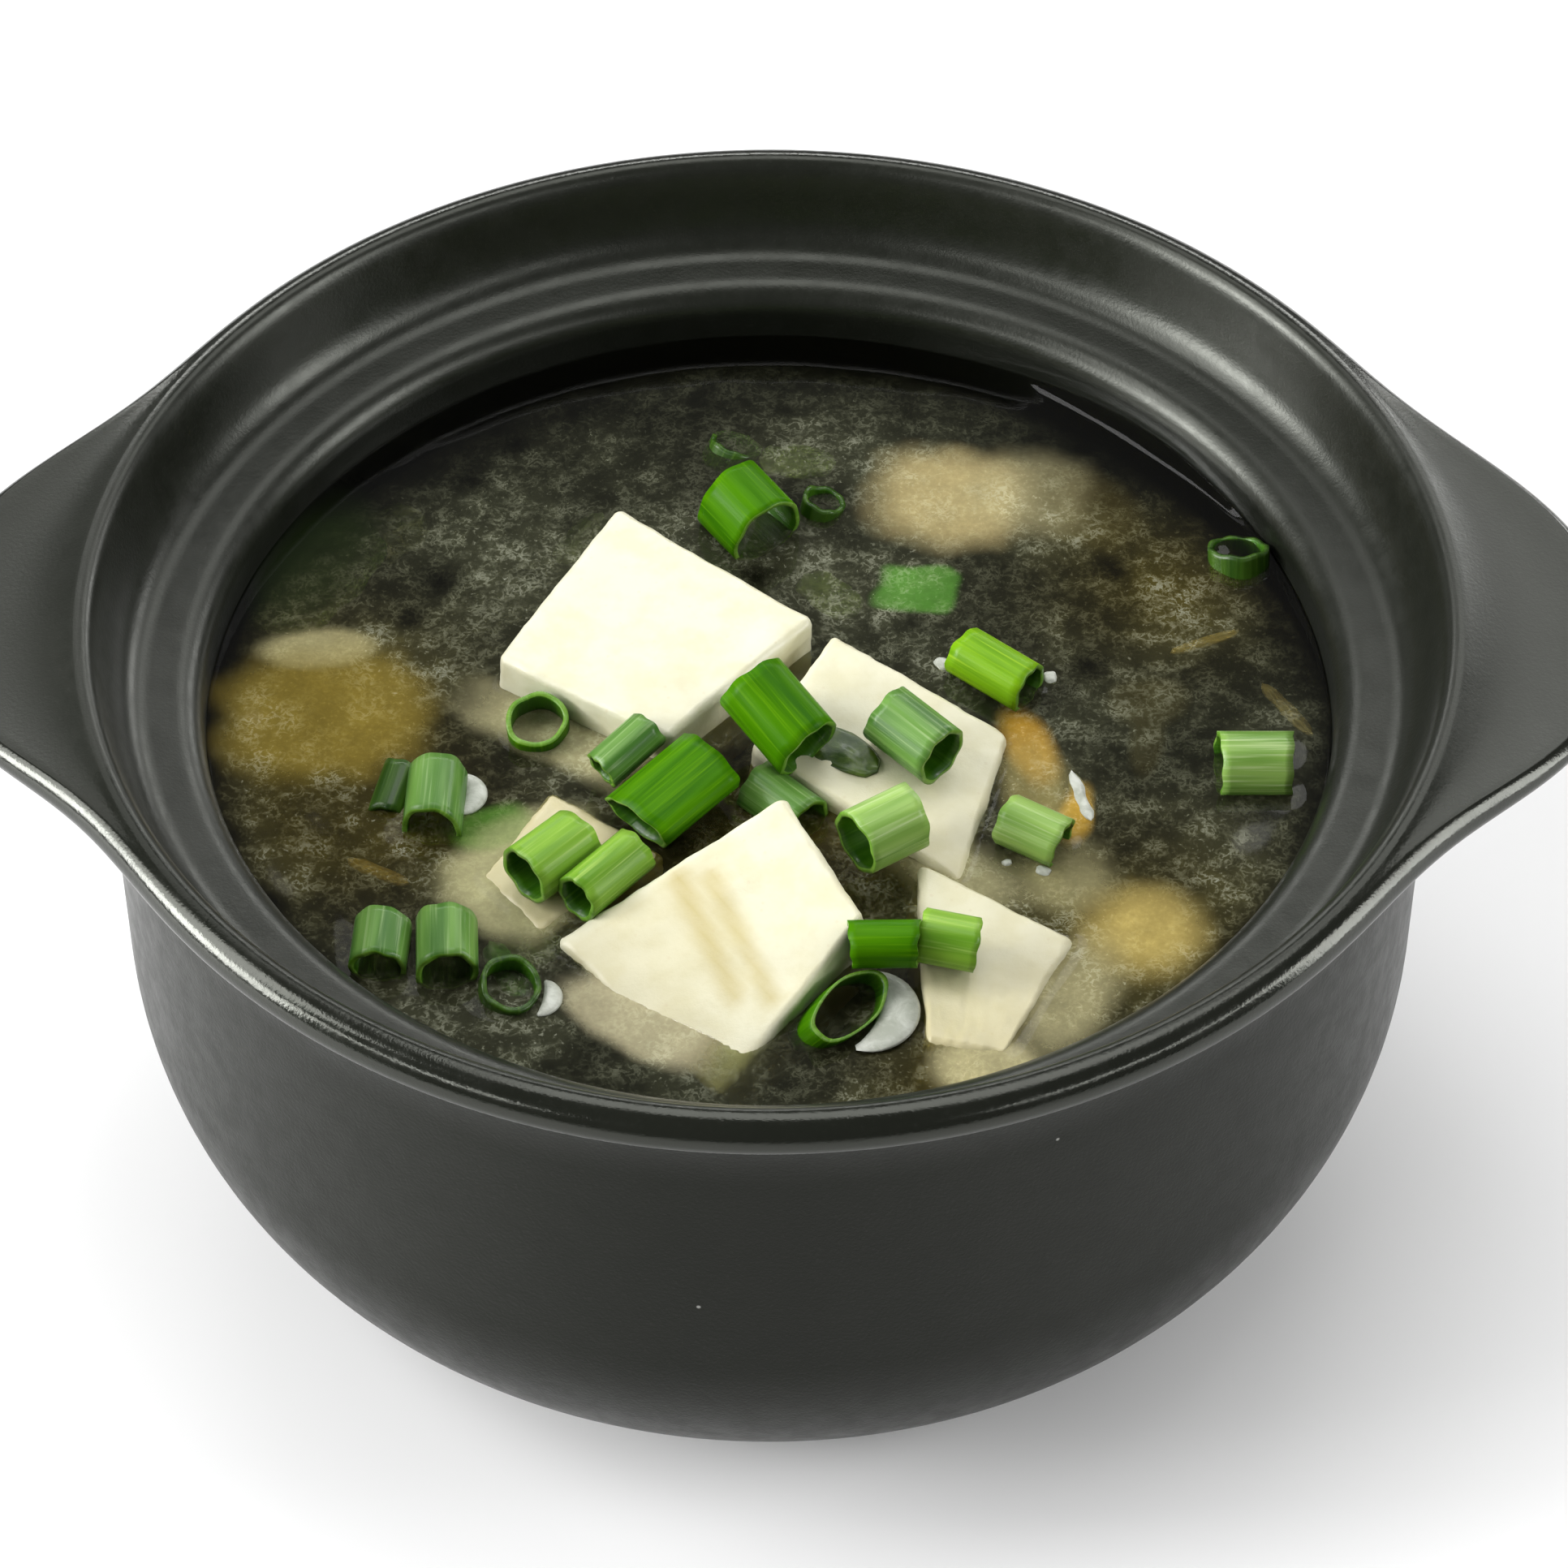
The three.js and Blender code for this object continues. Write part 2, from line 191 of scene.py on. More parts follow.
# Shades of leaf: dark, light and vein tone, gloss
LEAF_TONES = {
    "fresh": ((0.024, 0.112, 0.0003), (0.058, 0.195, 0.0006), (0.12, 0.3, 0.002), 0.05),
    "bright": ((0.1, 0.26, 0.002), (0.2, 0.41, 0.006), (0.34, 0.54, 0.02), 0.15),
    "pale": ((0.13, 0.27, 0.04), (0.28, 0.45, 0.1), (0.5, 0.62, 0.3), 0.25),
    "mid": ((0.10, 0.25, 0.012), (0.22, 0.41, 0.04), (0.40, 0.57, 0.13), 0.2),
    "cool": ((0.045, 0.14, 0.016), (0.14, 0.29, 0.055), (0.36, 0.5, 0.22), 0.3),
    "dark": ((0.012, 0.045, 0.002), (0.05, 0.12, 0.008), (0.09, 0.18, 0.02), 0.3),
    # Inner wall: green, painted darker as shade inside the hollow
    "inside": ((0.02, 0.085, 0.002), (0.05, 0.155, 0.005), (0.09, 0.22, 0.01), 0.3),
    "cut": ((0.09, 0.23, 0.012), (0.16, 0.32, 0.035), (0.25, 0.43, 0.08), 0.3),
}

# Tones of the small sunk and floating pieces: dark, light
SUNK_TONES = {
    "mushroom_tan": ((0.2, 0.145, 0.06), (0.33, 0.26, 0.13)),
    "mushroom_pale": ((0.3, 0.24, 0.12), (0.44, 0.37, 0.21)),
    "seaweed": ((0.006, 0.012, 0.002), (0.03, 0.05, 0.008)),
    "green_seaweed": ((0.012, 0.035, 0.004), (0.06, 0.13, 0.015)),
    "soaked_leaf": ((0.025, 0.06, 0.004), (0.09, 0.15, 0.012)),
    "sunk_leaf": ((0.05, 0.2, 0.02), (0.12, 0.34, 0.06)),
    # White tone of slice parts, shreds and crumbs, also of the slivers that stand as painted glints
    "white_stalk_and_glint": ((0.38, 0.4, 0.33), (0.62, 0.64, 0.57)),
}

# Thin leaves and strips: name, centre, length, width, yaw, curl, seed, tone, slot
LEAVES = [
    ("seaweed_left", (-53.5, 22.5, 60), 22, 11, 62, 1.2, 8, "green_seaweed", "scallion"),
    ("seaweed_left_low", (-47, 31, 57.6), 13, 9, 30, 1, 9, "seaweed", "scallion"),
    ("strip_right", (50.7, 11.8, 58.6), 9, 1.5, 24, 0.2, 10, "mushroom_pale", "tofu"),
    ("strip_wall", (59.6, 0.8, 58.4), 10, 1.7, -58, 0.2, 11, "mushroom_tan", "tofu"),
    ("strip_left", (-43.6, -24.9, 58.6), 8, 1.7, -28, 0.2, 12, "mushroom_tan", "tofu"),
    ("soaked_leaf_middle", (7.7, -9.6, 63.9), 11.5, 5, -38, 0.5, 13, "soaked_leaf", "scallion"),
    ("soaked_leaf_back", (3.3, 42.5, 59.6), 9.4, 5.4, -6, 0.5, 14, "soaked_leaf", "scallion"),
    ("soaked_leaf_dark", (7.1, 19.3, 59.4), 9, 5, -48, 0.4, 15, "soaked_leaf", "scallion"),
    ("leaf_front_left", (-28.6, -40.4, 60.2), 9, 3.4, -62, 0.6, 18, "sunk_leaf", "scallion"),
    ("soaked_leaf_front", (-26.5, -36.5, 59), 8, 6, 20, 0.5, 19, "soaked_leaf", "scallion"),
    ("peel_behind", (-22.4, 28.6, 60), 10, 4, 60, 0.4, 20, "seaweed", "scallion"),
    ("white_shred", (35.2, -14.6, 60.9), 8, 1.8, -76, 0.3, 24, "white_stalk_and_glint", "tofu"),
]

# White slivers of a slice, partly standing as painted glints of the lamps on the soup: name, centre, radius,
# width, start and end angle
WHITE_SLIVERS_AND_GLINTS = [
    ("white_slice_glint_left", (-36.2, -14.6, 60.8), 3.2, 2.6, -65, 75),
    ("white_slice_glint_front", (8.4, -47, 61.1), 5.8, 4.6, -80, 62),
    ("white_slice_glint_ring", (-26.6, -45, 60.8), 3.2, 2.2, -60, 45),
]

# Slices wholly under the soup: name, centre, yaw, pitch, length, radius, seed
SUNK_SLICES = [
    ("scallion_sunk_back", (-4.8, 44.2, 58.6), 40, 60, 4, 3.2, 31),
    ("scallion_sunk_left", (-42.2, -13.6, 59.6), 75, 10, 7, 2.6, 32),
]

# White crumbs on the soup: across, back, size
CRUMBS = [(32.4, 4.4, 1.5), (20, 6.6, 1.7), (30.5, -26.2, 1.4), (26.5, -25, 0.9)]
CRUMB_LEVEL = 60.6
CRUMB_HEIGHT = 0.9
CRUMB_LONGER = 1.3

# Studio, metres
SURROUND_STRENGTH = 0.2
FLOOR_HALF = 4
LIGHT_AIM = (0, 0, 0.05)

# Lights: name, place, size, power
LIGHTS = [
    ("top_box", (0.1, 0.35, 1.35), (0.9, 0.7), 6.2),
    ("left_box", (-0.85, 0, 0.6), (0.4, 0.9), 7.4),
    ("left_low_box", (-1, -0.16, 0.34), (0.5, 0.36), 9.5),
    ("right_box", (0.95, -0.1, 0.36), (0.3, 0.6), 5),
    ("left_front_strip", (-0.72, -0.52, 0.55), (0.7, 0.08), 1.8),
    ("right_front_strip", (0.72, -0.52, 0.55), (0.7, 0.08), 1.3),
    ("back_left_panel", (-0.46, 0.84, 0.95), (0.55, 0.6), 0.9),
    ("back_right_panel", (0.46, 0.84, 0.95), (0.55, 0.6), 1.8),
    ("back_right_low", (0.62, 0.79, 0.3), (0.4, 0.26), 1.8),
    ("back_strip", (0, 0.95, 0.57), (0.9, 0.12), 2.6),
]


class Look:
    """Node tree of one material, with a short call for each kind of node used here."""

    def __init__(self, name, **values):
        self.material = bpy.data.materials.new(name)
        self.material.use_nodes = True
        self.tree = self.material.node_tree
        self.shader = self.tree.nodes["Principled BSDF"]
        for socket, value in values.items():
            self.shader.inputs[socket.replace("_", " ")].default_value = value

    def node(self, kind, settings=None, **inputs):
        made = self.tree.nodes.new(kind)
        for name, value in (settings or {}).items():
            setattr(made, name, value)
        for socket, value in inputs.items():
            self.feed(made.inputs[socket.replace("_", " ")], value)
        return made

    def feed(self, socket, value):
        if isinstance(value, bpy.types.NodeSocket):
            self.tree.links.new(value, socket)
        else:
            socket.default_value = value

    def link(self, output, socket):
        self.tree.links.new(output, self.shader.inputs[socket])

    def place(self, kind="Object", scale=(1000, 1000, 1000)):
        source = self.node("ShaderNodeTexCoord").outputs[kind]
        return self.node("ShaderNodeMapping", Vector=source, Scale=scale).outputs["Vector"]

    def noise(self, place, scale, detail=3, roughness=0.55, distortion=0):
        made = self.node("ShaderNodeTexNoise", Vector=place, Scale=scale, Detail=detail,
                         Roughness=roughness, Distortion=distortion)
        return made.outputs["Fac"]

    def cells(self, place, scale):
        return self.node("ShaderNodeTexVoronoi", Vector=place, Scale=scale)

    def remap(self, value, low, high, to_low=0, to_high=1):
        made = self.node("ShaderNodeMapRange", {"interpolation_type": "SMOOTHSTEP"}, Value=value,
                         From_Min=low, From_Max=high, To_Min=to_low, To_Max=to_high)
        return made.outputs["Result"]

    def math(self, operation, first, second):
        made = self.node("ShaderNodeMath", {"operation": operation})
        self.feed(made.inputs[0], first)
        self.feed(made.inputs[1], second)
        return made.outputs["Value"]

    def mix(self, share, first, second):
        made = self.node("ShaderNodeMix", {"data_type": "RGBA"})
        self.feed(made.inputs["Factor"], share)
        self.feed(made.inputs[6], (*first, 1) if isinstance(first, tuple) else first)
        self.feed(made.inputs[7], (*second, 1) if isinstance(second, tuple) else second)
        return made.outputs[2]

    def attribute(self, name, kind="Fac"):
        return self.node("ShaderNodeAttribute", {"attribute_name": name}).outputs[kind]

    def bump(self, height, strength, distance):
        made = self.node("ShaderNodeBump", Height=height, Strength=strength, Distance=distance * MM)
        self.link(made.outputs["Normal"], "Normal")


def stoneware_look(name, gloss, grain_depth):
    """Charcoal glaze, satin where marked, with a fine grain, faint mottling and a few pale specks."""
    look = Look(name, Specular_IOR_Level=gloss, Specular_Tint=(0.97, 1, 0.9, 1))
    place = look.place()
    mottle = look.noise(place, 0.05, 3, 0.65)
    grain = look.noise(place, 2.2, 2, 0.7)
    tone = look.mix(look.remap(mottle, 0.35, 0.68), (0.0056, 0.0066, 0.0042), (0.0072, 0.0082, 0.0056))
    grained = look.mix(look.remap(grain, 0.55, 0.8, 0, 0.55), tone, (0.016, 0.017, 0.0135))
    cells = look.cells(place, 0.16)
    chosen = look.math("GREATER_THAN", cells.outputs["Color"], 0.8)
    speck = look.math("MULTIPLY", look.remap(cells.outputs["Distance"], 0.02, 0.05, 1, 0), chosen)
    look.link(look.mix(speck, grained, (0.3, 0.3, 0.28)), "Base Color")
    shine = look.remap(look.noise(place, 0.3, 3, 0.7), 0.3, 0.7, 0.12, 0.2)
    satin = look.math("MULTIPLY", look.attribute("satin"), 0.18)
    look.link(look.math("ADD", shine, satin), "Roughness")
    look.bump(grain, grain_depth, 0.12)
    return look.material


def broth_look():
    """Clear dark broth full of fine pale grains, thicker in clouds and thinned near the wall as painted
    shade, with a few clear round spots.
    """
    look = Look("broth", Roughness=0.03, IOR=1.33)
    place = look.place()
    grain = look.noise(place, 1.5, 3, 0.66, 0.3)
    level = look.math("ABSOLUTE", look.math("SUBTRACT", look.noise(place, 0.9, 3, 0.6, 0.5), 0.5), 0)
    thread = look.remap(level, 0, 0.09, 0.8, 0)
    patches = look.remap(look.noise(place, 0.3, 3, 0.65, 0.15), 0.36, 0.66)
    cloud = look.noise(place, 0.07, 3, 0.65, 0.2)
    cells = look.cells(place, 0.13)
    chosen = look.math("GREATER_THAN", cells.outputs["Color"], 0.74)
    hole = look.math("MULTIPLY", look.remap(cells.outputs["Distance"], 0.04, 0.46, 0.8, 0), chosen)
    open_share = look.math("SUBTRACT", 1, hole)
    cloudy = look.math("MULTIPLY", look.remap(cloud, 0.34, 0.66, 0.3, 1), open_share)
    # The thick share also holds painted shade of the wall: the grains fade out near it
    thick = look.math("MULTIPLY", cloudy, look.attribute("thick"))
    speckle = look.math("MAXIMUM", look.math("MULTIPLY", thread, patches), look.remap(grain, 0.56, 0.76))
    grains = look.math("MULTIPLY", speckle, thick)
    blotch = look.math("MULTIPLY", thick, look.remap(patches, 0, 1, 0.8, 1.25))
    murk = look.attribute("murk")
    haze_tone = look.mix(murk, (0.43, 0.45, 0.25), (0.54, 0.44, 0.09))
    clear = look.mix(grains, haze_tone, (0.72, 0.74, 0.57))
    sunk = look.math("MULTIPLY", look.attribute("sunk"), look.remap(grain, 0.3, 0.7, 0.86, 1))
    cloud_share = look.math("ADD", look.math("MULTIPLY", grains, 0.26), look.math("MULTIPLY", blotch, 0.09))
    solid = look.math("ADD", cloud_share, look.math("ADD", sunk, 0.001))
    sunk_part = look.math("DIVIDE", sunk, solid)
    look.link(look.mix(sunk_part, clear, look.attribute("sunk_tone", "Color")), "Base Color")
    look.link(look.math("MAXIMUM", look.math("SUBTRACT", 1, solid), 0.03), "Transmission Weight")
    absorption = look.node("ShaderNodeVolumeAbsorption", Color=(0.6, 0.5, 0.16, 1), Density=110)
    output = look.tree.nodes["Material Output"]
    look.tree.links.new(absorption.outputs["Volume"], output.inputs["Volume"])
    return look.material


def tofu_look(name, light, dark):
    """Moist bean curd: soft cream with faint mottling, small pores, and tan stains and painted shade where
    marked.
    """
    look = Look(name, Roughness=0.42, Coat_Weight=0.2, Coat_Roughness=0.2)
    place = look.place()
    mottle = look.noise(place, 0.22, 3, 0.6)
    base = look.mix(look.remap(mottle, 0.36, 0.7), light, dark)
    pores = look.remap(look.cells(place, 0.55).outputs["Distance"], 0.06, 0.16, 0.35, 0)
    pitted = look.mix(pores, base, (0.66, 0.58, 0.4))
    # The stain share holds tan stains, soaked tone and painted shade on the leaning block
    look.link(look.mix(look.attribute("stain"), pitted, (0.5, 0.41, 0.15)), "Base Color")
    look.bump(look.noise(place, 0.9, 4, 0.7), 0.3, 0.25)
    return look.material


def leaf_look(name, dark, light, pale, gloss):
    """Waxy scallion leaf with fine pale veins along it."""
    look = Look(name, Specular_IOR_Level=gloss, Coat_Weight=gloss / 4, Coat_Roughness=0.12)
    place = look.place("UV", (1, 1, 1))
    broad = look.noise(look.node("ShaderNodeMapping", Vector=place, Scale=(7, 0.35, 1)).outputs[0], 1, 2)
    veins = look.noise(look.node("ShaderNodeMapping", Vector=place, Scale=(42, 0.5, 1)).outputs[0], 1, 2)
    tone = look.mix(look.remap(broad, 0.3, 0.7), dark, light)
    look.link(look.mix(look.remap(veins, 0.5, 0.78, 0, 0.6), tone, pale), "Base Color")
    look.link(look.remap(veins, 0.3, 0.7, 0.3, 0.42), "Roughness")
    look.bump(veins, 0.35, 0.12)
    return look.material


def mottled_look(name, dark, light, scale=0.4, roughness=0.45):
    """Cooked vegetable or mushroom with an uneven tone."""
    look = Look(name, Roughness=roughness, Coat_Weight=0.2, Coat_Roughness=0.15)
    place = look.place()
    tone = look.noise(place, scale, 5, 0.65, 0.4)
    look.link(look.mix(look.remap(tone, 0.32, 0.7), dark, light), "Base Color")
    look.bump(tone, 0.4, 0.3)
    return look.material


def floor_look():
    look = Look("pale_floor", Roughness=0.7)
    tone = look.noise(look.place(scale=(1, 1, 1)), 3, 3)
    look.link(look.mix(tone, (0.9, 0.9, 0.9), (0.93, 0.93, 0.93)), "Base Color")
    return look.material


def make_piece(name, points, faces, materials, node=None, face_slots=None):
    """Smooth mesh piece from points in millimetres, riding on the part."""
    mesh = bpy.data.meshes.new(name)
    mesh.from_pydata((np.asarray(points, float) * MM).tolist(), [], faces)
    for material in materials:
        mesh.materials.append(material)
    if face_slots is not None:
        mesh.polygons.foreach_set("material_index", face_slots)
    mesh.polygons.foreach_set("use_smooth", [True] * len(mesh.polygons))
    mesh.update()
    piece = bpy.data.objects.new(name, mesh)
    SCENE.collection.objects.link(piece)
    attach(piece, "root")
    if node:
        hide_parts(node)
    return piece


def arc(centre_r, centre_z, radius_r, radius_z, start, end, steps):
    """Points of an elliptical arc in the radius and height plane."""
    angles = np.radians(np.linspace(start, end, steps + 1))
    return [(centre_r + radius_r * math.cos(a), centre_z + radius_z * math.sin(a)) for a in angles]


def sweep(start, end, start_pull, end_pull, steps):
    """Points of a smooth curve, level at both ends and steep in the middle."""
    corners = np.array([start, (start[0] - start_pull, start[1]), (end[0] + end_pull, end[1]), end])
    shares = np.linspace(0, 1, steps + 1)[:, None]
    left = 1 - shares
    weights = [left ** 3, 3 * shares * left ** 2, 3 * shares ** 2 * left, shares ** 3]
    return [tuple(spot) for spot in sum(weight * corner for weight, corner in zip(weights, corners))]


def inside_curve(clearance, steps):
    radius_r = MOUTH_RADIUS - FLOOR_RADIUS - clearance
    radius_z = INSIDE_WALL_START - FLOOR_HEIGHT - clearance
    return arc(FLOOR_RADIUS, INSIDE_WALL_START, radius_r, radius_z, 0, -90, steps)


def pot_profile():
    """Outline from the base's middle, up the outside and down the inside, and its count of outside points."""
    edge = POT_HEIGHT - EDGE_DROP
    underside = POT_HEIGHT - UNDERSIDE_DROP
    ledge = POT_HEIGHT - LEDGE_DROP
    ledge_edge = ledge - LEDGE_SLOPE - LEDGE_EDGE_ROUND
    rim_width = EDGE_RADIUS + EDGE_ROUND - CREST_RADIUS
    outside = [
        (0, 0),
        *arc(BASE_RADIUS, WALL_START, WALL_RADIUS - BASE_RADIUS, WALL_START, -90, 0, 28),
        *arc(EDGE_RADIUS, underside, EDGE_RADIUS - WALL_RADIUS, edge - EDGE_ROUND - underside, 180, 90, 18),
    ]
    above = [
        *arc(EDGE_RADIUS, edge, EDGE_ROUND, EDGE_ROUND, -90, 0, 7)[1:],
        *arc(CREST_RADIUS, edge, rim_width, EDGE_DROP, 0, 90, 44)[1:],
        *sweep((CREST_RADIUS, POT_HEIGHT), (LEDGE_RADIUS - COVE_RUN, ledge), CREST_PULL, COVE_PULL, 34)[1:],
        *arc(MOUTH_RADIUS + LEDGE_EDGE_ROUND, ledge_edge, LEDGE_EDGE_ROUND, LEDGE_EDGE_ROUND, 90, 180, 10),
        *inside_curve(0, 20),
        (0, FLOOR_HEIGHT),
    ]
    return outside + above, len(outside)


def handle_share(turn):
    """1 in the middle of a handle, 0 away from it."""
    share = 0
    for angle, widen in HANDLES:
        away = abs((math.degrees(turn) - angle + 180) % 360 - 180)
        share += math.exp(-((away / (HANDLE_HALF_ANGLE * widen)) ** HANDLE_SHARPNESS))
    return share


def drawn_out(radius, turn, height, share):
    """Rim edge drawn out into the handles: top falls to a shallow dish, underside swells."""
    drop = POT_HEIGHT - height
    upper = drop < EDGE_DROP
    root = CREST_FOOT_RADIUS if upper else WALL_RADIUS
    if radius > root and drop <= UNDERSIDE_DROP:
        outward = min(1, (radius - root) / (EDGE_RADIUS - root))
        dish = 1 - (1 - outward) ** 3
        swell = HANDLE_SWELL * 4 * outward * (1 - outward)
        radius += HANDLE_REACH * share * outward
        flatten = HANDLE_DROP + HANDLE_FLATTEN * (1 - drop / EDGE_DROP)
        height -= share * (flatten * dish if upper else HANDLE_DROP * outward + swell)
    return (radius * math.cos(turn), radius * math.sin(turn), height)


def lathe_faces(rows, steps):
    """Faces of a turned form: one point, rows of steps points, one point."""
    faces = []
    last = 1 + rows * steps
    for i in range(steps):
        j = (i + 1) % steps
        faces.append((0, 1 + j, 1 + i))
        for row in range(rows - 1):
            low, high = 1 + row * steps, 1 + (row + 1) * steps
            faces.append((low + i, low + j, high + j, high + i))
        top = 1 + (rows - 1) * steps
        faces.append((top + i, top + j, last))
    return faces


def make_pot():
    """Turned pot with its handles, glossy on the rim and satin elsewhere, also on the handles' tops."""
    profile, outside = pot_profile()
    turns = [2 * math.pi * i / POT_TURN_STEPS for i in range(POT_TURN_STEPS)]
    turns = [turn - HANDLE_CROWDING * math.sin(2 * turn) / 2 for turn in turns]
    shares = [handle_share(turn) for turn in turns]
    points, satin = [(0, 0, 0)], [1]
    for i, (radius, height) in enumerate(profile[1:-1], 1):
        points += [drawn_out(radius, turn, height, share) for turn, share in zip(turns, shares)]
        on_rim = i >= outside and height > POT_HEIGHT - UNDERSIDE_DROP and radius >= CREST_RADIUS
        handle_top = height > POT_HEIGHT - EDGE_DROP and radius < EDGE_RADIUS
        if not on_rim:
            satin += [1] * POT_TURN_STEPS
        elif handle_top:
            satin += [min(1, share / HANDLE_SATIN) for share in shares]
        else:
            satin += [0] * POT_TURN_STEPS
    points.append((0, 0, FLOOR_HEIGHT))
    satin.append(1)
    faces = lathe_faces(len(profile) - 2, POT_TURN_STEPS)
    bands = len(profile) - 1
    kinds = [0 if band < outside - 1 else 1 for band in range(bands)] * POT_TURN_STEPS
    looks = [
        stoneware_look("glaze_outside", gloss=0.13, grain_depth=0.3),
        stoneware_look("glaze_rim_and_inside", gloss=0.5, grain_depth=0.22),
    ]
    piece = make_piece("pot_glazed", points, faces, looks, "pot", kinds)
    set_share(piece, "satin", satin)


def waterline(nodes):
    """Segments where the named solids cross the soup's level, in millimetres."""
    level = SOUP_LEVEL + WATERLINE_LIFT
    segments = []
    for name in nodes:
        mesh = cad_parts[name].data
        mesh.calc_loop_triangles()
        corners = np.array([v.co for v in mesh.vertices]) / MM
        for triangle in mesh.loop_triangles:
            spots = corners[list(triangle.vertices)]
            over = spots[:, 2] > level
            if over.all() or not over.any():
                continue
            crossing = []
            for a, b in ((0, 1), (1, 2), (2, 0)):
                if over[a] != over[b]:
                    share = (level - spots[a, 2]) / (spots[b, 2] - spots[a, 2])
                    crossing.append(spots[a, :2] + share * (spots[b, :2] - spots[a, :2]))
            segments.append(crossing)
    return np.array(segments)


def distance_to(segments, points):
    """Distance in the plane from each point to the nearest segment."""
    start, along = segments[:, 0], segments[:, 1] - segments[:, 0]
    length = np.maximum((along ** 2).sum(1), 1e-9)
    nearest = np.empty(len(points))
    batch = 2000
    for i in range(0, len(points), batch):
        offset = points[i:i + batch, None, :] - start[None]
        share = np.clip((offset * along[None]).sum(2) / length[None], 0, 1)
        gap = offset - share[..., None] * along[None]
        nearest[i:i + batch] = np.sqrt((gap ** 2).sum(2).min(1))
    return nearest


def soup_surface(points):
    """Height of the soup: level, drawn up a little at the wall and round each piece."""
    food = [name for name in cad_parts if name.startswith(("tofu", "scallion"))]
    gap = distance_to(waterline(food), points)
    wall = np.maximum(MOUTH_RADIUS - np.hypot(points[:, 0], points[:, 1]), 0)
    swell = np.array([noise.noise(Vector((x * SWELL_SCALE, y * SWELL_SCALE, 3))) for x, y in points])
    away = (np.degrees(np.arctan2(points[:, 1], points[:, 0])) - HIGH_RISE_ANGLE) / HIGH_RISE_SPREAD
    climb = WALL_RISE + HIGH_RISE * np.exp(-away ** 2)
    rise = MENISCUS_RISE * np.exp(-gap / MENISCUS_REACH) + climb * np.exp(-wall / WALL_REACH)
    height = SOUP_LEVEL + rise + SWELL_HEIGHT * swell
    for top, _ in TOFU:
        height -= inside_block(points, top) * (height - SOUP_LEVEL + BLOCK_DIP)
    return height


def inside_block(points, top):
    """How far each point is inside a block's top that stands above the soup, from 0 to 1."""
    corners = np.array(top)
    centre = corners.mean(0)
    inside = np.full(len(points), np.inf)
    for a, b in zip(corners, np.roll(corners, -1, axis=0)):
        edge = (b - a)[:2] / np.linalg.norm((b - a)[:2])
        offset = points - a[:2]
        inside = np.minimum(inside, edge[0] * offset[:, 1] - edge[1] * offset[:, 0])
    normal = np.cross(corners[2] - corners[0], corners[3] - corners[1])
    rise = ((points - centre[:2]) @ normal[:2]) / -normal[2]
    depth = np.clip((centre[2] + rise - SOUP_LEVEL - BLOCK_CLEARANCE) / BLOCK_FADE_HEIGHT, 0, 1)
    return depth * np.clip((inside - BLOCK_INSET) / BLOCK_FADE_WIDTH, 0, 1)


def soup_grains_under_wall_shade(points):
    """How much of the pale grains shows, faded as painted shade of the wall: none along the far wall, full
    further in.
    """
    wall = MOUTH_RADIUS - np.hypot(points[:, 0], points[:, 1])
    clear = WALL_SHADE_REACH * np.clip(WALL_SHADE_REACH_AT_MIDDLE + points[:, 1] / MOUTH_RADIUS, WALL_SHADE_REACH_AT_FRONT, 1)
    band = WALL_SHADE_BAND * np.clip(points[:, 1] / WALL_SHADE_BAND_RUN, 0, 1)
    return np.clip((wall - band) / clear, 0, 1)


def sunk_things(points):
    """Share and tone of the things showing from below at each point."""
    left = np.ones(len(points))
    tone = np.zeros((len(points), 3))
    weight = np.full(len(points), 1e-6)
    broad = np.array([noise.noise(Vector((x * 0.22, y * 0.22, 7))) for x, y in points])
    fine = np.array([noise.noise(Vector((x * 0.75, y * 0.75, 2))) for x, y in points])
    for x, y, wide, deep, yaw, square, soft, colour, strength in SUNK_SPOTS:
        cosine, sine = math.cos(math.radians(yaw)), math.sin(math.radians(yaw))
        across, back = points[:, 0] - x, points[:, 1] - y
        u = np.abs(across * cosine + back * sine) / wide
        v = np.abs(back * cosine - across * sine) / deep
        away = (u ** square + v ** square) ** (1 / square) + 0.2 * broad + 0.04 * fine
        inward = np.clip((1 + soft / 2 - away) / soft, 0, 1)
        share = strength * inward ** 2 * (3 - 2 * inward)
        tone += share[:, None] * np.array(colour)
        weight += share
        left *= 1 - share
    mottle = 1 + 0.12 * fine + 0.2 * broad
    return 1 - left, tone / weight[:, None] * mottle[:, None]


def soup_murk(points):
    """How brown the soup's haze is at each point, from 0 to 1."""
    murk = np.zeros(len(points))
    for x, y, reach in MURKY_PLACES:
        murk += np.exp(-(((points[:, 0] - x) ** 2 + (points[:, 1] - y) ** 2) / reach ** 2))
    return np.clip(murk, 0, 1)


